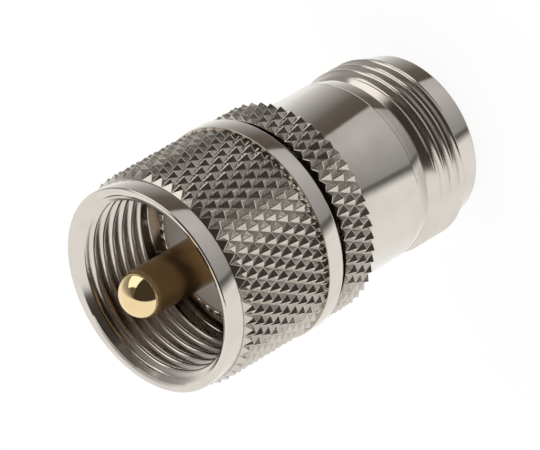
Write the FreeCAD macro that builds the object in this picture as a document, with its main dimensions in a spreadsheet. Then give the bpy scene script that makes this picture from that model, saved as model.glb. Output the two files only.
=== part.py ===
import FreeCAD, Part
import Sketcher
import math
import os

# Coaxial adapter: a plug with a knurled coupling nut on one end and a threaded
# socket on the other, turned from brass about one axis.
# The part stands on its socket end. The axis is Z, the origin is the middle of
# the socket's end face, and the plug's pin points up. All sizes are millimetres.

doc = FreeCAD.newDocument("coaxial_adapter")
sheet = doc.addObject("Spreadsheet::Sheet", "Sizes")

SIZES = {
    # Socket end, from its face upwards
    "socket_thread_dia": 15.875,
    "lead_step": 0.74,
    "lead_length": 2.1,
    "lead_chamfer": 0.3,
    "thread_run": 3.55,
    "thread_end_length": 0.79,
    "relief_depth": 0.79,
    "relief_width": 0.26,
    "collar_length": 1.1,
    "collar_taper": 0.1,
    "barrel_step": 0.14,
    "barrel_length": 6.65,
    "socket_bore_dia": 8.12,
    "socket_bore_depth": 9.1,
    "mouth_chamfer": 0.35,
    # Coupling nut, from its rear face upwards
    "nut_gap": 0.65,
    "nut_travel": 1.2,
    "nut_rear_lip": 1.6,
    "nut_shoulder": 1.9,
    "nut_relief_width": 1.4,
    "nut_relief_depth": 0.06,
    "coupling_thread_dia": 15.875,
    "coupling_thread_pitch": 1.0583,
    "coupling_thread_depth": 6.95,
    "mouth_depth": 0.75,
    "mouth_flare": 0.16,
    "rim_slope": 0.18,
    "rim_edge": 0.1,
    "nut_wall": 0.84,
    "front_band_width": 1.75,
    "front_band_undercut": 0.06,
    "rear_band_width": 1.7,
    "rear_band_rise": 0.05,
    "rear_band_chamfer": 0.2,
    "nut_bore_clearance": 0.15,
    # Knurl of the nut and the flange, rolled with one tool
    "knurl_count": 52,
    "knurl_angle": 29,
    "knurl_depth": 0.37,
    "knurl_chamfer": 0.4,
    "knurl_root": 0.2,
    # Knurled flange, and the spigot and nose inside the nut
    "flange_width": 3.1,
    "flange_step": 0.05,
    "nose_clearance": 1.06,
    "nose_length": 1.2,
    "nose_wall": 0.42,
    "nose_lip": 0.8,
    "nose_edge": 0.08,
    "nose_teeth": 48,
    "tooth_depth": 0.14,
    "tooth_width": 0.4,
    "spigot_step": 0.2,
    "spigot_wall": 0.7,
    # Split ring that holds the nut on the spigot
    "ring_thickness": 0.8,
    "ring_groove_depth": 0.8,
    "ring_grip": 0.55,
    "ring_radial_clearance": 0.15,
    "ring_side_clearance": 0.05,
    "ring_stop_clearance": 0.02,
    "ring_gap_angle": 24,
    # White insulators and the bores that hold them
    "line_bore_step": 0.56,
    "line_bore_depth": 3.5,
    "web_step": 0.3,
    "web_length": 3.0,
    "bead_setback": 0.25,
    # Centre conductor
    "pin_dia": 4.0,
    "pin_reach": 2.35,
    "pin_shank_step": 0.3,
    "pin_tail_dia": 2.0,
    "pin_tail_length": 3.6,
    "contact_dia": 3.04,
    "contact_recess": 4.05,
    "contact_bore_dia": 1.68,
    "contact_bore_depth": 6.0,
    "contact_tip_chamfer": 0.15,
    "contact_collar_step": 0.68,
    "slot_width": 0.28,
    "slot_length": 4.6,
}

for row, (alias, number) in enumerate(SIZES.items(), start=1):
    sheet.set("A%d" % row, alias.replace("_", " "))
    sheet.set("B%d" % row, str(number))
    sheet.setAlias("B%d" % row, alias)
doc.recompute()


class Size:
    """A length that carries its number and its formula in the sheet's names."""

    def __init__(self, number, formula):
        self.number = number
        self.formula = formula

    def joined(self, sign, other, number):
        text = other.formula if isinstance(other, Size) else repr(other)
        return Size(number, "(%s %s %s)" % (self.formula, sign, text))

    def __add__(self, other):
        return self.joined("+", other, self.number + value_of(other))

    def __sub__(self, other):
        return self.joined("-", other, self.number - value_of(other))

    def __mul__(self, other):
        return self.joined("*", other, self.number * value_of(other))

    def __truediv__(self, other):
        return self.joined("/", other, self.number / value_of(other))


def value_of(length):
    return length.number if isinstance(length, Size) else length


def size(alias):
    return Size(float(getattr(sheet, alias)), "Sizes." + alias)


def half(alias):
    return size(alias) / 2


NO_TURN = FreeCAD.Rotation()
AXIS = Size(0.0, "0")
FLOOR = Size(0.0, "0")


# Heights of the main body's steps, from the socket face up to the flange
thread_low = size("lead_length")
thread_high = thread_low + size("thread_run")
relief_low = thread_high + size("thread_end_length")
relief_high = relief_low + size("relief_width")
collar_high = relief_high + size("collar_length")
flange_low = collar_high + size("barrel_length")
flange_high = flange_low + size("flange_width")

# Heights of the coupling nut's steps, as it rests on its ring
nut_low = flange_high + size("nut_gap")
nut_groove_low = nut_low + size("nut_rear_lip")
nut_groove_high = nut_groove_low + size("ring_thickness") + size("ring_side_clearance") * 2
nut_relief_low = nut_groove_high + size("nut_shoulder")
nut_thread_low = nut_relief_low + size("nut_relief_width")
nut_high = nut_thread_low + size("coupling_thread_depth")
nut_knurl_low = nut_low + size("rear_band_width")
front_band_low = nut_high - size("front_band_width")

# The ring travels with the nut along the spigot's wide groove
ring_low = nut_groove_low + size("ring_side_clearance")
ring_high = ring_low + size("ring_thickness")
stop_low = ring_low - size("ring_stop_clearance")
stop_high = ring_high + size("nut_travel") + size("ring_stop_clearance")

# Inside, the socket's reference plane, its insulator, the web and the bead
line_low = size("socket_bore_depth")
web_low = line_low + size("line_bore_depth")
web_high = web_low + size("web_length")
nose_high = stop_high + size("nose_length")
lip_low = nose_high - size("nose_lip")
bead_high = nose_high - size("bead_setback")
pin_top = nut_high + size("pin_reach")

# Radii of the nut, worked outwards from its thread. A unified thread's bore
# is 1.0825 pitches smaller than the thread itself.
thread_radius = half("coupling_thread_dia")
nut_minor_radius = thread_radius - size("coupling_thread_pitch") * 1.0825 / 2
nut_valley_radius = thread_radius + size("nut_wall")
nut_crest_radius = nut_valley_radius + size("knurl_depth")
front_band_radius = nut_valley_radius - size("front_band_undercut")
rear_band_radius = nut_crest_radius + size("rear_band_rise")
flange_crest_radius = nut_crest_radius - size("flange_step")
flange_valley_radius = flange_crest_radius - size("knurl_depth")

# Radii of the nose, the spigot and the ring, worked inwards from the nut's bore
nose_radius = nut_minor_radius - size("nose_clearance")
lip_radius = nose_radius - size("nose_wall")
spigot_radius = nose_radius + size("spigot_step")
spigot_groove_radius = spigot_radius - size("ring_groove_depth")
bead_radius = spigot_groove_radius - size("spigot_wall")
nut_bore_radius = spigot_radius + size("nut_bore_clearance")
ring_outer_radius = nut_bore_radius + size("ring_grip")
nut_groove_radius = ring_outer_radius + size("ring_radial_clearance")
ring_inner_radius = spigot_groove_radius + size("ring_radial_clearance")

# Radii of the socket end and of the centre conductor
socket_thread_radius = half("socket_thread_dia")
lead_radius = socket_thread_radius - size("lead_step")
barrel_radius = socket_thread_radius - size("barrel_step")
relief_radius = socket_thread_radius - size("relief_depth")
socket_bore_radius = half("socket_bore_dia")
line_bore_radius = socket_bore_radius - size("line_bore_step")
web_bore_radius = line_bore_radius - size("web_step")
pin_radius = half("pin_dia")
shank_radius = pin_radius - size("pin_shank_step")
tail_radius = half("pin_tail_dia")
contact_radius = half("contact_dia")
contact_bore_radius = half("contact_bore_dia")
contact_collar_radius = contact_radius + size("contact_collar_step")


def origin_plane(body, role):
    """One of the body's own origin planes or axes, found by its role."""
    return next(item for item in body.Origin.OriginFeatures if item.Role == role)


def sketch_on(body, role, name):
    sketch = body.newObject("Sketcher::SketchObject", name)
    sketch.AttachmentSupport = (origin_plane(body, role), [""])
    sketch.MapMode = "FlatFace"
    return sketch


def hold_corner(sketch, line, point, across, up):
    """Ties one end of a sketch line to its distances from the sketch's origin."""
    for kind, distance, axis in (("DistanceX", across, -2), ("DistanceY", up, -1)):
        if distance.formula == "0":
            sketch.addConstraint(Sketcher.Constraint("PointOnObject", line, point, axis))
            continue
        held = Sketcher.Constraint(kind, -1, 1, line, point, distance.number)
        number = sketch.addConstraint(held)
        sketch.setExpression("Constraints[%d]" % number, distance.formula)


def draw_outline(sketch, corners):
    """Draws a closed outline of straight lines through the corners."""
    count = len(corners)
    spots = [FreeCAD.Vector(across.number, up.number, 0) for across, up in corners]
    for index in range(count):
        line = Part.LineSegment(spots[index], spots[(index + 1) % count])
        sketch.addGeometry(line, False)
    for index in range(count):
        following = (index + 1) % count
        sketch.addConstraint(Sketcher.Constraint("Coincident", index, 2, following, 1))
    for index, (across, up) in enumerate(corners):
        hold_corner(sketch, index, 1, across, up)


def spin_outline(body, sketch, angle_formula=None):
    turning = body.newObject("PartDesign::Revolution", body.Name + "_turning")
    turning.Profile = sketch
    turning.ReferenceAxis = (sketch, ["V_Axis"])
    turning.Angle = 360
    if angle_formula:
        turning.setExpression("Angle", angle_formula)
    return turning


def turned_body(name, corners, angle_formula=None):
    """A piece turned on the lathe: its half section is spun about the Z axis."""
    body = doc.addObject("PartDesign::Body", name)
    sketch = sketch_on(body, "XZ_Plane", name + "_section")
    draw_outline(sketch, corners)
    spin_outline(body, sketch, angle_formula)
    return body


def cut_around(body, sketch, count_formula, start, length):
    """Cuts a sketched notch outwards from its start radius, evenly around the axis."""
    sketch.AttachmentOffset = FreeCAD.Placement(FreeCAD.Vector(0, 0, start.number), NO_TURN)
    sketch.setExpression("AttachmentOffset.Base.z", start.formula)
    notch = body.newObject("PartDesign::Pocket", sketch.Name + "_notch")
    notch.Profile = sketch
    notch.Type = 0
    notch.Length = 1
    notch.setExpression("Length", length.formula)
    notch.Reversed = True
    around = body.newObject("PartDesign::PolarPattern", sketch.Name + "_around")
    around.Originals = [notch]
    around.Axis = (origin_plane(body, "Z_Axis"), [""])
    around.Angle = 360
    around.setExpression("Occurrences", count_formula)
    body.Tip = around


# Diamond knurl: two sets of slanting grooves cross and leave rows of small
# four-sided pyramids. Each row is half a diamond above the last and turned by
# half a step, so a pyramid's corners are its neighbours' corners too. An end
# row is half a pyramid, either cut off square or sloped by a turned chamfer.

def ring_point(radius, turn, height):
    return FreeCAD.Vector(radius * math.cos(turn), radius * math.sin(turn), height)


def triangle(a, b, c):
    return Part.Face(Part.makePolygon([a, b, c, a]))


def knurled_ring(name, crest, low, high, chamfer_low, chamfer_high):
    """A ring of pyramids whose bore is sunk a little into the piece it is rolled on."""
    count = int(round(size("knurl_count").number))
    step = 2 * math.pi / count
    valley = (crest - size("knurl_depth")).number
    bore_radius = valley - 2 * size("knurl_root").number
    chamfer = size("knurl_chamfer").number
    length = (high - low).number
    slope = math.tan(math.radians(size("knurl_angle").number))
    rows = max(1, round(length * slope / (crest.number * step / 2)))
    rise = length / rows

    def node(level, turn):
        return ring_point(valley, turn, low.number + level * rise)

    def crest_point(level, turn):
        height = low.number + level * rise
        if level == 0 and chamfer_low:
            height = height + chamfer
        if level == rows and chamfer_high:
            height = height - chamfer
        return ring_point(crest.number, turn, height)

    faces = []
    for level in range(rows + 1):
        sloped = (level == 0 and chamfer_low) or (level == rows and chamfer_high)
        for place in range(count):
            turn = (place + 0.5 * (level % 2)) * step
            top = crest_point(level, turn)
            left = node(level, turn - step / 2)
            right = node(level, turn + step / 2)
            if level < rows:
                above = node(level + 1, turn)
                faces.append(triangle(top, right, above))
                faces.append(triangle(top, above, left))
            if level > 0:
                below = node(level - 1, turn)
                faces.append(triangle(top, left, below))
                faces.append(triangle(top, below, right))
            if sloped:
                faces.append(triangle(top, left, right))

    for level, sloped in ((0, chamfer_low), (rows, chamfer_high)):
        edge = []
        for place in range(count):
            turn = (place + 0.5 * (level % 2)) * step
            edge.append(node(level, turn - step / 2))
            if not sloped:
                edge.append(crest_point(level, turn))
        edge.append(edge[0])
        centre = FreeCAD.Vector(0, 0, low.number + level * rise)
        hole = Part.makeCircle(bore_radius, centre)
        wires = [Part.makePolygon(edge), Part.Wire(hole)]
        faces.append(Part.makeFace(wires, "Part::FaceMakerBullseye"))
    bore = Part.makeCylinder(bore_radius, length, FreeCAD.Vector(0, 0, low.number))
    faces.append(next(face for face in bore.Faces if isinstance(face.Surface, Part.Cylinder)))

    shell = Part.makeShell(faces)
    shell.sewShape()
    solid = Part.makeSolid(shell)
    if solid.Volume < 0:
        solid.reverse()
    ring = doc.addObject("Part::Feature", name)
    ring.Shape = solid
    ring.Placement = FreeCAD.Placement()
    return ring


def joined(name, pieces):
    whole = doc.addObject("Part::MultiFuse", name)
    whole.Shapes = pieces
    return whole


# Main body: one brass turning. From the bottom up its outside is the plain
# lead, the thread at its outer diameter, the cone that ends it, the relief, the
# tapered collar, the barrel, the flange, and the grooved spigot with the nose.
main_blank = turned_body("main_blank", [
    (socket_bore_radius + size("mouth_chamfer"), FLOOR),
    (lead_radius - size("lead_chamfer"), FLOOR),
    (lead_radius, size("lead_chamfer")),
    (lead_radius, thread_low),
    (socket_thread_radius, thread_low),
    (socket_thread_radius, thread_high),
    (relief_radius, relief_low),
    (relief_radius, relief_high),
    (barrel_radius - size("collar_taper"), relief_high),
    (barrel_radius, collar_high),
    (barrel_radius, flange_low),
    (flange_valley_radius - size("knurl_root"), flange_low),
    (flange_valley_radius - size("knurl_root"), flange_high),
    (spigot_radius, flange_high),
    (spigot_radius, stop_low),
    (spigot_groove_radius, stop_low),
    (spigot_groove_radius, stop_high),
    (nose_radius, stop_high),
    (nose_radius, lip_low),
    (bead_radius, lip_low),
    (bead_radius, web_high),
    (web_bore_radius, web_high),
    (web_bore_radius, web_low),
    (line_bore_radius, web_low),
    (line_bore_radius, line_low),
    (socket_bore_radius, line_low),
    (socket_bore_radius, size("mouth_chamfer")),
])

# The nose's rim bites into the socket that it meets: fine teeth, cut as notches
nose_rim = turned_body("nose_rim", [
    (lip_radius, lip_low),
    (nose_radius, lip_low),
    (nose_radius, nose_high - size("nose_edge")),
    (nose_radius - size("nose_edge"), nose_high),
    (lip_radius, nose_high),
])
tooth_sketch = sketch_on(nose_rim, "YZ_Plane", "tooth")
draw_outline(tooth_sketch, [
    (AXIS, nose_high - size("tooth_depth")),
    (half("tooth_width"), nose_high),
    (AXIS - half("tooth_width"), nose_high),
])
tooth_start = lip_radius - size("nose_wall")
cut_around(nose_rim, tooth_sketch, "Sizes.nose_teeth", tooth_start, size("nose_wall") * 3)

flange_knurl = knurled_ring(
    "flange_knurl", flange_crest_radius, flange_low, flange_high, True, True
)
main_body = joined("main_body", [main_blank, nose_rim, flange_knurl])

# Coupling nut: a turned sleeve, smooth at both ends and knurled between them.
# Its bore is the mouth, the thread at its inner diameter, a relief, and the
# rear wall whose groove holds the ring.
nut_blank = turned_body("nut_blank", [
    (nut_bore_radius, nut_low),
    (rear_band_radius - size("rear_band_chamfer"), nut_low),
    (rear_band_radius, nut_low + size("rear_band_chamfer")),
    (rear_band_radius, nut_knurl_low),
    (nut_valley_radius - size("knurl_root"), nut_knurl_low),
    (nut_valley_radius - size("knurl_root"), front_band_low),
    (front_band_radius, front_band_low),
    (front_band_radius, nut_high - size("rim_edge")),
    (front_band_radius - size("rim_edge"), nut_high),
    (thread_radius + size("mouth_flare"), nut_high - size("rim_slope")),
    (nut_minor_radius, nut_high - size("mouth_depth")),
    (nut_minor_radius, nut_thread_low),
    (thread_radius + size("nut_relief_depth"), nut_thread_low),
    (thread_radius + size("nut_relief_depth"), nut_relief_low),
    (nut_bore_radius, nut_relief_low),
    (nut_bore_radius, nut_groove_high),
    (nut_groove_radius, nut_groove_high),
    (nut_groove_radius, nut_groove_low),
    (nut_bore_radius, nut_groove_low),
])
nut_knurl = knurled_ring(
    "nut_knurl", nut_crest_radius, nut_knurl_low, front_band_low, False, True
)
coupling_nut = joined("coupling_nut", [nut_blank, nut_knurl])

# Retaining ring: a flat springy ring with one gap. It sits in the nut's groove
# and reaches into the spigot's wider one, so the nut turns and slides a little.
retaining_ring = turned_body("retaining_ring", [
    (ring_inner_radius, ring_low),
    (ring_outer_radius, ring_low),
    (ring_outer_radius, ring_high),
    (ring_inner_radius, ring_high),
], "360 - Sizes.ring_gap_angle")

# Plug pin: a gold-plated rod with a round end. Its shoulder seats on the bead's
# front face, and its tail is screwed into the socket contact behind.
dome_centre = pin_top - pin_radius
tail_low = web_high - size("pin_tail_length")

plug_pin = doc.addObject("PartDesign::Body", "plug_pin")
pin_sketch = sketch_on(plug_pin, "XZ_Plane", "plug_pin_section")
pin_corners = [
    (AXIS, tail_low),
    (tail_radius, tail_low),
    (tail_radius, web_high),
    (shank_radius, web_high),
    (shank_radius, bead_high),
    (pin_radius, bead_high),
    (pin_radius, dome_centre),
]
pin_spots = [FreeCAD.Vector(across.number, up.number, 0) for across, up in pin_corners]
tip_spot = FreeCAD.Vector(0, pin_top.number, 0)
centre_spot = FreeCAD.Vector(0, dome_centre.number, 0)
last = len(pin_corners) - 1
for index in range(last):
    pin_sketch.addGeometry(Part.LineSegment(pin_spots[index], pin_spots[index + 1]), False)
dome_circle = Part.Circle(centre_spot, FreeCAD.Vector(0, 0, 1), pin_radius.number)
pin_sketch.addGeometry(Part.ArcOfCircle(dome_circle, 0, math.pi / 2), False)
pin_sketch.addGeometry(Part.LineSegment(tip_spot, pin_spots[0]), False)
for index in range(last + 1):
    pin_sketch.addConstraint(Sketcher.Constraint("Coincident", index, 2, index + 1, 1))
pin_sketch.addConstraint(Sketcher.Constraint("Coincident", last + 1, 2, 0, 1))
for index, (across, up) in enumerate(pin_corners):
    hold_corner(pin_sketch, index, 1, across, up)
hold_corner(pin_sketch, last, 3, AXIS, dome_centre)
pin_sketch.addConstraint(Sketcher.Constraint("PointOnObject", last, 2, -2))
spin_outline(plug_pin, pin_sketch)

# Socket contact: a gold-plated tube, slotted so that its mouth is springy
contact_low = size("contact_recess")
contact_bore_high = contact_low + size("contact_bore_depth")
tip_chamfer = size("contact_tip_chamfer")

socket_contact = turned_body("socket_contact", [
    (contact_bore_radius + tip_chamfer, contact_low),
    (contact_radius - tip_chamfer, contact_low),
    (contact_radius, contact_low + tip_chamfer),
    (contact_radius, web_low),
    (contact_collar_radius, web_low),
    (contact_collar_radius, web_high),
    (tail_radius, web_high),
    (tail_radius, tail_low),
    (AXIS, tail_low),
    (AXIS, contact_bore_high),
    (contact_bore_radius, contact_bore_high),
    (contact_bore_radius, contact_low + tip_chamfer),
])
slot_sketch = sketch_on(socket_contact, "YZ_Plane", "slot")
slot_half = size("slot_width") / 2
slot_other = AXIS - slot_half
draw_outline(slot_sketch, [
    (slot_other, FLOOR),
    (slot_half, FLOOR),
    (slot_half, contact_low + size("slot_length")),
    (slot_other, contact_low + size("slot_length")),
])
slot_start = contact_bore_radius / 2
cut_around(socket_contact, slot_sketch, "4", slot_start, size("contact_dia"))

# Bead: the white insulator of the plug end, pressed into the spigot's bore,
# with a wider lip that shows inside the nose
plug_insulator = turned_body("plug_insulator", [
    (shank_radius, web_high),
    (bead_radius, web_high),
    (bead_radius, lip_low),
    (lip_radius, lip_low),
    (lip_radius, bead_high),
    (shank_radius, bead_high),
])

# Socket insulator: the white disc at the bottom of the socket's bore
socket_insulator = turned_body("socket_insulator", [
    (contact_radius, line_low),
    (line_bore_radius, line_low),
    (line_bore_radius, web_low),
    (contact_radius, web_low),
])

PIECES = [
    main_body,
    coupling_nut,
    retaining_ring,
    plug_pin,
    socket_contact,
    plug_insulator,
    socket_insulator,
]

doc.recompute()
for item in doc.Objects:
    faults = [state for state in item.State if state in ("Invalid", "Error")]
    if faults:
        raise RuntimeError("%s did not build: %s" % (item.Label, faults))
for piece in PIECES:
    if piece.Shape.isNull() or not piece.Shape.isValid():
        raise RuntimeError("%s has no valid shape" % piece.Label)
    if len(piece.Shape.Solids) != 1:
        raise RuntimeError("%s is not one solid" % piece.Label)

os.makedirs("parts", exist_ok=True)
for piece in PIECES:
    piece.Shape.exportStep("parts/%s.step" % piece.Label)
    print(piece.Label, round(piece.Shape.Volume, 3), len(piece.Shape.Faces))
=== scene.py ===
import math

import bmesh
import bpy
from mathutils import Matrix, Vector


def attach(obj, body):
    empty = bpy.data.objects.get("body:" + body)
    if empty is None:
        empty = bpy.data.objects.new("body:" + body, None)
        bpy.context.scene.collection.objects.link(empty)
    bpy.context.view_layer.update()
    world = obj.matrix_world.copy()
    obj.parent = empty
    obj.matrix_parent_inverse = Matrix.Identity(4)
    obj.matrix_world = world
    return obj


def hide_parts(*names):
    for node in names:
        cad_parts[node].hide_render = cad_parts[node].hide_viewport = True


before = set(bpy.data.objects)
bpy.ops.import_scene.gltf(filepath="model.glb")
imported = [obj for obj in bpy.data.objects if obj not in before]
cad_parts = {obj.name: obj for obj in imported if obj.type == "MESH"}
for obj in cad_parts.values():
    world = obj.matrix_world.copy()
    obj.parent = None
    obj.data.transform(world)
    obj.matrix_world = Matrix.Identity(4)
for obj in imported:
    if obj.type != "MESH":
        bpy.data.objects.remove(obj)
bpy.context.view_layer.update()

MM = 0.001
FULL_TURN = 2 * math.pi
UPRIGHT = (0, 0, 1)


# Main body, turned from one brass bar and nickel plated: the socket's bore and lead,
# the relief behind its thread, the tapered collar, the barrel, the flange's core and
# the grooved spigot that the nut runs on. It stands on the socket's end face.

class Wire:
    """A value between two nodes. Sums and products of it add their Math nodes."""

    def __init__(self, recipe, socket):
        self.recipe = recipe
        self.socket = socket

    def worked(self, operation, *values):
        return self.recipe.node("ShaderNodeMath", {"operation": operation}, dict(enumerate(values)))

    def __add__(self, other):
        return self.worked("ADD", self, other)

    def __mul__(self, other):
        return self.worked("MULTIPLY", self, other)

    def __pow__(self, other):
        return self.worked("POWER", self, other)

    __radd__ = __add__
    __rmul__ = __mul__


class Recipe:
    """The nodes of one finish, or of the studio's light."""

    def __init__(self, owner):
        owner.use_nodes = True
        self.tree = owner.node_tree
        self.tree.nodes.clear()

    def node(self, kind, settings, values, out=0):
        """Adds a node: its settings first, then the values or wires of its sockets."""
        node = self.tree.nodes.new(kind)
        for name, setting in settings.items():
            if name == "stops":
                stops = node.color_ramp.elements
                while len(stops) < len(setting):
                    stops.new(0.5)
                for stop, (place, colour) in zip(stops, setting):
                    stop.position = place
                    stop.color = (*colour, 1)
            else:
                setattr(node, name, setting)
        for name, value in values.items():
            if isinstance(value, Wire):
                self.tree.links.new(value.socket, node.inputs[name])
            else:
                node.inputs[name].default_value = value
        return Wire(self, node.outputs[out]) if node.outputs else node

    def place(self):
        """The object coordinates, and their three numbers."""
        spot = self.node("ShaderNodeTexCoord", {}, {}, "Object")
        return spot, [self.node("ShaderNodeSeparateXYZ", {}, {0: spot}, axis) for axis in "XYZ"]

    def step(self, value, low, high):
        """0 below low and 1 above high, smooth between them."""
        settings = {"interpolation_type": "SMOOTHSTEP", "clamp": True}
        return self.node("ShaderNodeMapRange", settings, {0: value, 1: low, 2: high})

    def blend(self, share, first, second):
        return self.node("ShaderNodeMix", {"data_type": "RGBA"}, {0: share, 6: first, 7: second}, 2)

    def noise(self, spot, scale, detail=2.0):
        return self.node("ShaderNodeTexNoise", {}, {"Vector": spot, "Scale": scale, "Detail": detail})


def plating(name, colour, roughness, turning=0.0, ripple=0.0, scratch=0.0, dull_and_shaded_below=None):
    """Bright plating over turned metal. turning is the height in metres of the fine
    circular tool marks, ripple of the soft unevenness under the plating, and scratch of
    the rough strokes that a knurling tool leaves. The last argument is (height, height,
    added roughness, colour): below those heights the metal is rougher, and its colour
    is turned to the given one, a painted shade for dark surroundings mirrored in it."""
    material = bpy.data.materials.new(name)
    recipe = Recipe(material)
    spot, (x, y, z) = recipe.place()
    reach = (x * x + y * y) ** 0.5
    mark_spot = recipe.node("ShaderNodeCombineXYZ", {}, {"X": reach, "Y": z})
    marks = recipe.noise(mark_spot, 9000.0)
    waves = recipe.noise(spot, 1300.0)
    cloud = recipe.noise(spot, 420.0, 4.0)
    tint = recipe.blend(recipe.step(cloud, 0.42, 0.75), (*colour, 1), (*[c * 0.93 for c in colour], 1))
    relief = marks * turning + waves * ripple
    if scratch:
        drawn_out = recipe.node("ShaderNodeMapping", {}, {"Vector": spot, "Scale": (1.0, 1.0, 0.4)})
        relief = relief + recipe.noise(drawn_out, 7500.0, 3.0) * scratch
    # Below the given heights: added roughness, and a painted shade in the given colour.
    if dull_and_shaded_below:
        polished, dull, added, painted_shade_brown = dull_and_shaded_below
        dull_and_shade = recipe.step(z, polished, dull)
        roughness = roughness + dull_and_shade * added
        tint = recipe.blend(dull_and_shade, tint, (*painted_shade_brown, 1))
    bump = recipe.node("ShaderNodeBump", {}, {"Strength": 1.0, "Distance": 1.0, "Height": relief})
    surface = recipe.node("ShaderNodeBsdfPrincipled", {}, {
        "Base Color": tint,
        "Metallic": 1.0,
        "Roughness": roughness + marks * 0.06 + cloud * 0.05,
        "Normal": bump,
    })
    recipe.node("ShaderNodeOutputMaterial", {}, {"Surface": surface})
    return material


def half_section(corners):
    """A new mesh with one closed outline of (radius, height, rounding) in millimetres."""
    shape = bmesh.new()
    outline = [shape.verts.new((radius * MM, 0, height * MM)) for radius, height, _ in corners]
    face = shape.faces.new(outline)
    roundings = sorted({rounding for _, _, rounding in corners if rounding})
    for rounding in roundings:
        bmesh.ops.bevel(
            shape,
            geom=[vert for vert, corner in zip(outline, corners) if corner[2] == rounding],
            affect="VERTICES",
            offset_type="OFFSET",
            offset=rounding * MM,
            segments=3,
            profile=0.5,
            material=-1,
            clamp_overlap=True,
        )
    bmesh.ops.delete(shape, geom=shape.faces[:], context="FACES_ONLY")
    return shape


def spun(shape, steps=168):
    """Spins the outline about the axis into a closed turned shape."""
    bmesh.ops.spin(
        shape, geom=shape.verts[:] + shape.edges[:], cent=(0, 0, 0), axis=UPRIGHT,
        dvec=(0, 0, 0), angle=FULL_TURN, steps=steps, use_merge=True,
    )
    return shape


def piece(name, shape, body, finish, crease=28):
    """Makes the mesh a piece of the object, with its sharp edges kept."""
    bmesh.ops.remove_doubles(shape, verts=shape.verts[:], dist=0.0015 * MM)
    bmesh.ops.recalc_face_normals(shape, faces=shape.faces[:])
    mesh = bpy.data.meshes.new(name)
    shape.to_mesh(mesh)
    shape.free()
    mesh.shade_smooth()
    mesh.set_sharp_from_angle(angle=math.radians(crease))
    mesh.materials.append(finish)
    made = bpy.data.objects.new(name, mesh)
    bpy.context.scene.collection.objects.link(made)
    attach(made, body)
    return made


NICKEL = (0.70, 0.652, 0.598)
turned_nickel = plating("turned_nickel", NICKEL, 0.03, turning=0.0000003, ripple=0.0000024)

shell = piece("socket_shell", spun(half_section([
    (4.41, 0.0, 0.05),
    (6.90, 0.0, 0.05),
    (7.1975, 0.30, 0.05),
    (7.1975, 2.10, 0),
    (7.00, 2.10, 0),
    (7.00, 6.44, 0),
    (7.1475, 6.44, 0),
    (7.1475, 6.70, 0.06),
    (7.6975, 6.70, 0.05),
    (7.7975, 7.77, 0),
    (7.7825, 7.79, 0),
    (7.7825, 7.81, 0),
    (7.7975, 7.83, 0),
    (7.7975, 14.45, 0.05),
    (8.5275, 14.47, 0),
    (8.5275, 17.53, 0),
    (6.5047, 17.55, 0.05),
    (6.5047, 19.83, 0.05),
    (5.7047, 19.83, 0),
    (5.7047, 21.87, 0),
    (6.3047, 21.87, 0.05),
    (6.3047, 22.30, 0),
    (5.0047, 22.30, 0),
    (5.0047, 15.60, 0),
    (3.20, 15.60, 0.05),
    (3.20, 12.60, 0.05),
    (3.50, 12.60, 0),
    (3.50, 9.10, 0.05),
    (4.06, 9.10, 0.05),
    (4.06, 0.35, 0.05),
])), "adapter_body", turned_nickel)
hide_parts("main_body")


# Socket thread: 24 turns to the inch, cut on the main body in one run from the plain
# lead to the bright cone that ends it, above the relief. Its roots are flat.

PITCH = 25.4 / 24


def ridge(outline, low, high, hidden_radius, cone):
    """A right-handed thread between two heights, as a ring of its own whose plain side
    is hidden in the metal at hidden_radius. outline is one pitch of it, in (radius,
    share of the pitch). cone is the turned slope (radius, height, radius, height)
    that it runs out through at its upper end."""
    shape = bmesh.new()
    chain = [
        shape.verts.new((radius * MM, 0, (low + (share - 1) * PITCH) * MM))
        for radius, share in outline
    ]
    links = [shape.edges.new(pair) for pair in zip(chain, chain[1:])]
    steps = 120
    turns = math.ceil((high - low) / PITCH) + 2
    bmesh.ops.spin(
        shape, geom=chain + links, cent=(0, 0, 0), axis=UPRIGHT,
        dvec=(0, 0, PITCH / steps * MM), angle=FULL_TURN * turns, steps=steps * turns,
    )
    bmesh.ops.remove_doubles(shape, verts=shape.verts[:], dist=0.002 * MM)
    first_radius, first_height, last_radius, last_height = cone
    inside = hidden_radius > first_radius
    cuts = 5
    for cut in range(cuts):
        height = first_height + (last_height - first_height) * cut / cuts
        bmesh.ops.bisect_plane(
            shape, geom=shape.verts[:] + shape.edges[:] + shape.faces[:], dist=0.00001 * MM,
            plane_co=(0, 0, height * MM), plane_no=UPRIGHT,
        )
    for vert in shape.verts:
        share = (vert.co.z / MM - first_height) / (last_height - first_height)
        radius = vert.co.xy.length
        slope = (first_radius + (last_radius - first_radius) * share) * MM
        if share > 0 and inside == (radius < slope):
            vert.co.xy *= slope / radius
    for height, way in ((low, -1), (high, 1)):
        bmesh.ops.bisect_plane(
            shape, geom=shape.verts[:] + shape.edges[:] + shape.faces[:], dist=0.00001 * MM,
            plane_co=(0, 0, height * MM), plane_no=(0, 0, way), clear_outer=True,
        )
    return walled(shape, hidden_radius)


def walled(shape, hidden_radius):
    """Draws both open ends of a ring straight to a hidden radius and joins them there."""
    rims = [edge for edge in shape.edges if edge.is_boundary]
    drawn = bmesh.ops.extrude_edge_only(shape, edges=rims)["geom"]
    for vert in drawn:
        if isinstance(vert, bmesh.types.BMVert):
            vert.co.xy *= hidden_radius * MM / vert.co.xy.length
    bmesh.ops.remove_doubles(shape, verts=shape.verts[:], dist=0.001 * MM)
    loops = [edge for edge in shape.edges if edge.is_boundary]
    bmesh.ops.bridge_loops(shape, edges=loops)
    return shape


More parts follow.
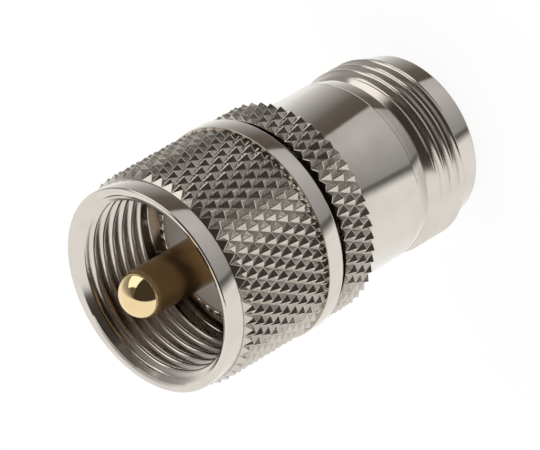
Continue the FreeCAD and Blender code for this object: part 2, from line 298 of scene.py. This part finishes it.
socket_thread = ridge([
    (7.9375, 0.000),
    (7.9375, 0.050),
    (7.9200, 0.085),
    (7.7800, 0.170),
    (7.6000, 0.275),
    (7.4400, 0.375),
    (7.3850, 0.440),
    (7.3850, 0.635),
    (7.4400, 0.700),
    (7.6000, 0.800),
    (7.7800, 0.905),
    (7.9200, 0.965),
    (7.9375, 1.000),
], 2.10, 6.44, 6.60, (7.9375, 5.65, 7.1475, 6.44))
thread_nickel = plating("thread_nickel", NICKEL, 0.11, turning=0.0000004, ripple=0.0000020)
piece("socket_thread", socket_thread, "adapter_body", thread_nickel, 40)


# Knurled flange, part of the main body: diamond knurling rolled in three rows, with
# a small chamfer turned on both edges. It is what the fingers hold.

KNURLS = 52
KNURL_STEP = FULL_TURN / KNURLS
FIRST_GROOVE = 0.010
GROOVE = 0.036
RIDGE_FLAT = 0.035


def on_ring(radius, turn, height):
    return (radius * math.cos(turn) * MM, radius * math.sin(turn) * MM, height * MM)


def copied_round(shape, count):
    """Copies what there is, evenly round the axis."""
    bmesh.ops.spin(
        shape, geom=shape.verts[:] + shape.edges[:] + shape.faces[:], cent=(0, 0, 0),
        axis=UPRIGHT, dvec=(0, 0, 0), angle=FULL_TURN * (count - 1) / count,
        steps=count - 1, use_duplicate=True,
    )


def knurling(crest, valley, low, high, rise, chamfer, hidden_radius, low_chamfer):
    """Rows of small four-sided points, laid from the high edge downwards. Each base is
    inset for a narrow groove and poked up to its point, whose ridges are blunted. The
    high edge is chamfered, and the low one too unless the rows are cut off there."""
    shape = bmesh.new()
    half = KNURL_STEP / 2
    levels = round((high - low) / rise) if low_chamfer else math.ceil((high - low) / rise) + 1
    for level in range(levels + 1):
        turn = half * (level % 2)
        height = high - level * rise
        left, right = (turn - half, height), (turn + half, height)
        above, below = (turn, height + rise), (turn, height - rise)
        base, tip = (left, below, right, above), (turn, height)
        if level == 0:
            base, tip = (left, below, right), (turn, height - chamfer)
        elif low_chamfer and level == levels:
            base, tip = (left, right, above), (turn, height + chamfer)
        face = shape.faces.new([shape.verts.new(on_ring(valley, *corner)) for corner in base])
        groove = GROOVE if level else FIRST_GROOVE
        bmesh.ops.inset_individual(shape, faces=[face], thickness=groove * MM, depth=0)
        point = bmesh.ops.poke(shape, faces=[face])["verts"][0]
        point.co = on_ring(crest, *tip)
        bmesh.ops.bevel(
            shape, geom=point.link_edges[:], affect="EDGES", offset_type="OFFSET",
            offset=RIDGE_FLAT * MM, segments=1, profile=0.5, material=-1,
        )
    copied_round(shape, KNURLS)
    bmesh.ops.remove_doubles(shape, verts=shape.verts[:], dist=0.002 * MM)
    if not low_chamfer:
        bmesh.ops.bisect_plane(
            shape, geom=shape.verts[:] + shape.edges[:] + shape.faces[:], dist=0.00001 * MM,
            plane_co=(0, 0, low * MM), plane_no=(0, 0, -1), clear_outer=True,
        )
    return walled(shape, hidden_radius)


# The knurl's nickel is painted darker than the turned nickel: a painted shade for the small pits and
# grooves of the rolled surface.
PIT_SHADED_NICKEL = (0.625, 0.58, 0.53)
knurl_nickel = plating("knurl_nickel", PIT_SHADED_NICKEL, 0.12, ripple=0.0000040, scratch=0.0000090)

flange_knurl = knurling(9.0975, 8.7275, 14.45, 17.55, 3.1 / 3, 0.12, 8.30, True)
piece("flange_knurl", flange_knurl, "adapter_body", knurl_nickel, 12)


# Toothed nose, the front end of the main body: a thin rim round the bead, with 48 fine
# notches that bite into the socket it is screwed against.

NOTCHES = 48
NOTCH_STEP = FULL_TURN / NOTCHES
NOTCH_DEPTH = 0.05

nose = bmesh.new()
nose_wall = [
    nose.verts.new((radius * MM, 0, height * MM))
    for radius, height in (
        (5.8847, 22.20),
        (5.8847, 23.03),
        (5.9247, 23.07),
        (6.2247, 23.07),
        (6.3047, 22.99),
        (6.3047, 22.20),
    )
]
nose_links = [nose.edges.new(pair) for pair in zip(nose_wall, nose_wall[1:])]
half_back = Matrix.Rotation(-NOTCH_STEP / 2, 3, "Z")
bmesh.ops.rotate(nose, cent=(0, 0, 0), matrix=half_back, verts=nose_wall)
bmesh.ops.spin(
    nose, geom=nose_wall + nose_links, cent=(0, 0, 0), axis=UPRIGHT,
    dvec=(0, 0, 0), angle=NOTCH_STEP, steps=4,
)
for vert in nose.verts:
    if abs(math.atan2(vert.co.y, vert.co.x)) < NOTCH_STEP / 16 and vert.co.z > 22.9 * MM:
        vert.co.z -= NOTCH_DEPTH * MM
copied_round(nose, NOTCHES)
bmesh.ops.remove_doubles(nose, verts=nose.verts[:], dist=0.002 * MM)
bmesh.ops.bridge_loops(nose, edges=[edge for edge in nose.edges if edge.is_boundary])
piece("nose_teeth", nose, "adapter_body", turned_nickel, 20)


# Socket insulator and bead: turned white fluoropolymer, pressed into the two ends of
# the main body. They hold the contact and the pin on the axis.

def fluoropolymer(name):
    """Smooth, waxy white plastic with faint tool marks and clouding."""
    material = bpy.data.materials.new(name)
    recipe = Recipe(material)
    spot, (x, y, z) = recipe.place()
    reach = (x * x + y * y) ** 0.5
    marks = recipe.noise(recipe.node("ShaderNodeCombineXYZ", {}, {"X": reach, "Y": z}), 7000.0)
    cloud = recipe.noise(spot, 500.0, 3.0)
    tint = recipe.blend(cloud, (0.80, 0.755, 0.70, 1), (0.74, 0.69, 0.63, 1))
    bump = recipe.node(
        "ShaderNodeBump", {}, {"Strength": 1.0, "Distance": 1.0, "Height": marks * 0.000002},
    )
    surface = recipe.node("ShaderNodeBsdfPrincipled", {}, {
        "Base Color": tint,
        "Roughness": 0.36 + cloud * 0.12,
        "Subsurface Weight": 0.08,
        "Subsurface Radius": (0.0010, 0.0010, 0.0009),
        "Normal": bump,
    })
    recipe.node("ShaderNodeOutputMaterial", {}, {"Surface": surface})
    return material


white_plastic = fluoropolymer("white_fluoropolymer")

socket_disc = piece("socket_disc", spun(half_section([
    (1.52, 9.10, 0.04),
    (3.50, 9.10, 0.04),
    (3.50, 12.60, 0.04),
    (1.52, 12.60, 0.04),
]), 96), "adapter_body", white_plastic)
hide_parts("socket_insulator")

bead = piece("bead", spun(half_section([
    (1.70, 15.60, 0.04),
    (5.0047, 15.60, 0.04),
    (5.0047, 22.30, 0),
    (5.8847, 22.30, 0),
    (5.8847, 22.82, 0.06),
    (1.70, 22.82, 0.05),
]), 120), "adapter_body", white_plastic)
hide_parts("plug_insulator")


# Centre conductor, turned from brass and gold plated: the socket contact is a tube with
# four slots that make its mouth springy, and the plug's pin is screwed into its back.

GOLD = (0.89, 0.69, 0.40)
# Below the dome the pin is rougher and painted brown: a painted shade of the dark nut mouth round it,
# mirrored in the gold.
bright_gold = plating(
    "bright_gold", GOLD, 0.02, turning=0.0000002, ripple=0.0000010,
    dull_and_shaded_below=(31.5 * MM, 31.2 * MM, 0.15, (0.47, 0.305, 0.148)),
)
contact_gold = plating("contact_gold", GOLD, 0.16, turning=0.0000005, ripple=0.0000012)

HALF_SLOT = 0.14

slotted = spun(half_section([
    (0.99, 4.05, 0.04),
    (1.37, 4.05, 0.06),
    (1.52, 4.20, 0.06),
    (1.52, 8.65, 0),
    (0.84, 8.65, 0),
    (0.84, 4.20, 0.04),
]), 96)
for turn in (0, FULL_TURN / 4):
    for side in (-HALF_SLOT, HALF_SLOT):
        across = Vector((math.cos(turn), math.sin(turn), 0))
        bmesh.ops.bisect_plane(
            slotted, geom=slotted.verts[:] + slotted.edges[:] + slotted.faces[:],
            dist=0.00001 * MM, plane_co=across * side * MM, plane_no=across,
        )
in_slot = [
    face for face in slotted.faces
    if min(abs(face.calc_center_median().x), abs(face.calc_center_median().y)) < HALF_SLOT * MM
]
bmesh.ops.delete(slotted, geom=in_slot, context="FACES")
bmesh.ops.remove_doubles(slotted, verts=slotted.verts[:], dist=0.001 * MM)
open_edges = [edge for edge in slotted.edges if edge.is_boundary]
bmesh.ops.holes_fill(slotted, edges=open_edges, sides=0)
contact_mouth = piece("contact_mouth", slotted, "adapter_body", contact_gold)

contact_back = piece("contact_back", spun(half_section([
    (0.0, 10.05, 0),
    (0.84, 10.05, 0),
    (0.84, 8.65, 0),
    (1.52, 8.65, 0),
    (1.52, 12.60, 0),
    (2.20, 12.60, 0.05),
    (2.20, 15.60, 0.05),
    (1.00, 15.60, 0),
    (1.00, 12.00, 0),
    (0.0, 12.00, 0),
]), 96), "adapter_body", contact_gold)
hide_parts("socket_contact")

DOME_HEIGHT = 31.30
PIN = 2.00
dome = [
    (PIN * math.cos(lift), DOME_HEIGHT + PIN * math.sin(lift), 0)
    for lift in [math.radians(degrees) for degrees in range(0, 90, 5)]
]
pin = piece("plug_pin_rod", spun(half_section([
    (0.0, 12.00, 0),
    (1.00, 12.00, 0.05),
    (1.00, 15.60, 0),
    (1.70, 15.60, 0.04),
    (1.70, 22.82, 0),
    (PIN, 22.82, 0.04),
    *dome,
    (0.0, DOME_HEIGHT + PIN, 0),
]), 120), "adapter_body", bright_gold, 24)
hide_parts("plug_pin")


# Retaining ring, of flat bronze spring wire with one gap, squeezed into the nut's groove.
# It can't be seen between the nut and the flange, so the solid itself is shown.

spring_bronze = plating("spring_bronze", (0.55, 0.42, 0.27), 0.28, turning=0.0000006)
ring_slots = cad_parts["retaining_ring"].material_slots
ring_slots[0].material = spring_bronze


# Coupling nut, a turned and nickel-plated brass sleeve: plain bands at both ends, a
# flared mouth, a relief behind its thread, and the groove that the ring sits in.

sleeve = piece("nut_sleeve", spun(half_section([
    (6.6547, 18.20, 0.05),
    (8.9975, 18.20, 0.05),
    (9.1975, 18.40, 0.08),
    (9.1975, 19.90, 0.04),
    (8.5775, 19.90, 0),
    (8.5775, 29.20, 0),
    (8.7175, 29.20, 0.03),
    (8.7175, 30.85, 0.05),
    (8.6175, 30.95, 0.05),
    (8.0975, 30.77, 0.03),
    (8.20, 30.70, 0),
    (8.20, 24.00, 0),
    (7.9975, 24.00, 0),
    (7.9975, 22.60, 0.10),
    (6.6547, 22.60, 0.05),
    (6.6547, 20.70, 0),
    (7.3547, 20.70, 0),
    (7.3547, 19.80, 0),
    (6.6547, 19.80, 0),
]), 208), "nut", turned_nickel)
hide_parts("coupling_nut")


# Nut thread, cut inside the sleeve to the same size as the socket's, with narrow flat
# crests. It runs out through the flared mouth, where its last turn tapers to nothing.

nut_thread = ridge([
    (7.3650, 0.000),
    (7.3650, 0.135),
    (7.3750, 0.160),
    (7.5300, 0.245),
    (7.7200, 0.350),
    (7.9150, 0.465),
    (7.9400, 0.500),
    (7.9400, 0.685),
    (7.9150, 0.715),
    (7.7200, 0.820),
    (7.5300, 0.915),
    (7.3750, 0.985),
    (7.3650, 1.000),
], 24.00, 30.77, 8.30, (7.365, 30.20, 8.0975, 30.77))
piece("nut_thread", nut_thread, "nut", thread_nickel, 40)


# Nut knurl, rolled on the sleeve with the tool that made the flange's: two crossing
# sets of grooves at about 30 degrees. Its front edge is turned to a bright chamfer, and
# its last row is cut off at the narrow rough shoulder in front of the rear band.

nut_knurl = knurling(9.1475, 8.7775, 19.90, 29.20, 0.98, 0.68, 8.40, False)
piece("nut_knurl", nut_knurl, "nut", knurl_nickel, 12)

knurl_end = spun(half_section([
    (8.45, 19.86, 0),
    (9.1475, 19.86, 0),
    (9.1475, 19.94, 0),
    (8.45, 19.94, 0),
]), 208)
piece("nut_knurl_end", knurl_end, "nut", knurl_nickel)


# Studio: a pale floor that keeps the adapter's soft shadow, and the light round it as
# the metal mirrors it: a white table, a lamp over it, grey walls and a dark room. The
# light is made for an adapter that lies down. This one stands, so overhead is at -Y.

bpy.ops.mesh.primitive_plane_add(size=4.0, location=(0, 0, -0.00002))
floor = bpy.context.object
floor.name = "floor"
paper = bpy.data.materials.new("white_paper")
recipe = Recipe(paper)
seen = recipe.node("ShaderNodeLightPath", {}, {}, "Is Camera Ray")
shaded = recipe.node("ShaderNodeBsdfDiffuse", {}, {"Color": (0.16, 0.16, 0.16, 1)})
lit = recipe.node("ShaderNodeEmission", {}, {"Color": (1, 1, 1, 1), "Strength": 0.90 * seen})
both = recipe.node("ShaderNodeAddShader", {}, {0: shaded, 1: lit})
recipe.node("ShaderNodeOutputMaterial", {}, {"Surface": both})
floor.data.materials.append(paper)
floor.visible_glossy = False

world = bpy.data.worlds.new("studio")
bpy.context.scene.world = world
sky = Recipe(world)
way = sky.node("ShaderNodeTexCoord", {}, {}, "Generated")
x, y, z = [sky.node("ShaderNodeSeparateXYZ", {}, {0: way}, axis) for axis in "XYZ"]
above = x * -0.14 + y * -0.99
beside = x * -0.99 + y * 0.14
turn = sky.node("ShaderNodeMath", {"operation": "ARCTAN2"}, {0: beside, 1: above})


def turned(degrees):
    """An angle round the adapter's axis: 0 is overhead, and the camera is near 60."""
    return math.radians(degrees)


def tone(value, warmth=0.0):
    """A grey, turned a little towards red by its warmth."""
    return (value * (1 + warmth), value, value * (1 - warmth))


WHITE = (1.0, 1.0, 0.99)
all_round = sky.node("ShaderNodeValToRGB", {"stops": [
    (0.5 + degrees / 360, colour)
    for degrees, colour in (
        (-85, WHITE),
        (-50, tone(0.50)),
        (-20, tone(0.15, 0.1)),
        (3, tone(0.10, 0.2)),
        (6, tone(0.60)),
        (30, tone(0.65)),
        (89, tone(0.35)),
        (91, tone(0.15)),
        (95, tone(0.15)),
        (105, WHITE),
    )
]}, {0: turn * (1 / FULL_TURN) + 0.5})

front = sky.step(z, -0.34, -0.14)
camera_side = front * sky.step(turn, turned(3), turned(8)) * sky.step(turn, turned(117), turned(109))
far_side = front * sky.step(turn, turned(-88), turned(-60)) * sky.step(turn, turned(6), turned(0))
behind = sky.step(z, -0.72, -0.86)
room = sky.blend(far_side * 0.45, all_round, (*tone(0.08, 0.1), 1))
room = sky.blend(behind * 0.35, room, (*tone(0.15, 0.1), 1))
room = sky.blend(camera_side, room, (*tone(0.045, 0.15), 1))

lamp_width = sky.step(turn, turned(-43), turned(-39)) * sky.step(turn, turned(11), turned(7))
lamp_length = sky.step(z, -0.15, -0.10) * sky.step(z, 0.69, 0.64)
mirrored = sky.blend(lamp_width * lamp_length, room, (1.35, 1.34, 1.30, 1))

camera_ray = sky.node("ShaderNodeLightPath", {}, {}, "Is Camera Ray")
shown = sky.blend(camera_ray, mirrored, (1, 1, 1, 1))
background = sky.node("ShaderNodeBackground", {}, {"Color": shown, "Strength": 1.0})
sky.node("ShaderNodeOutputWorld", {}, {"Surface": background})

lamp_data = bpy.data.lights.new("soft_lamp", "AREA")
lamp_data.shape = "DISK"
lamp_data.size = 0.22
lamp_data.energy = 0.12
soft_lamp = bpy.data.objects.new("soft_lamp", lamp_data)
soft_lamp.location = (0.05, -0.16, 0.24)
soft_lamp.rotation_euler = Vector((0.05, -0.16, 0.22)).to_track_quat("Z", "Y").to_euler()
soft_lamp.visible_glossy = False
bpy.context.scene.collection.objects.link(soft_lamp)


# Camera, with the long lens of a product photograph, fitted to the edges of the nut,
# the flange, the barrel and the threads. It is turned on its side, so that the standing
# adapter lies in its picture, with the nut's mouth in front.

camera_data = bpy.data.cameras.new("camera")
camera_data.sensor_width = 36.0
camera_data.lens = 333.33
camera_data.clip_start = 0.01
camera = bpy.data.objects.new("camera", camera_data)
to_right = Vector((-0.66886, 0.29712, -0.68143))
to_top = Vector((0.0, -0.91665, -0.39968))
to_back = to_right.cross(to_top)
aim = Matrix((to_right, to_top, to_back)).transposed().to_4x4()
camera.matrix_world = Matrix.Translation((-0.294671, -0.105530, 0.260130)) @ aim
bpy.context.scene.collection.objects.link(camera)
bpy.context.scene.camera = camera

bpy.context.scene.view_settings.view_transform = "Standard"
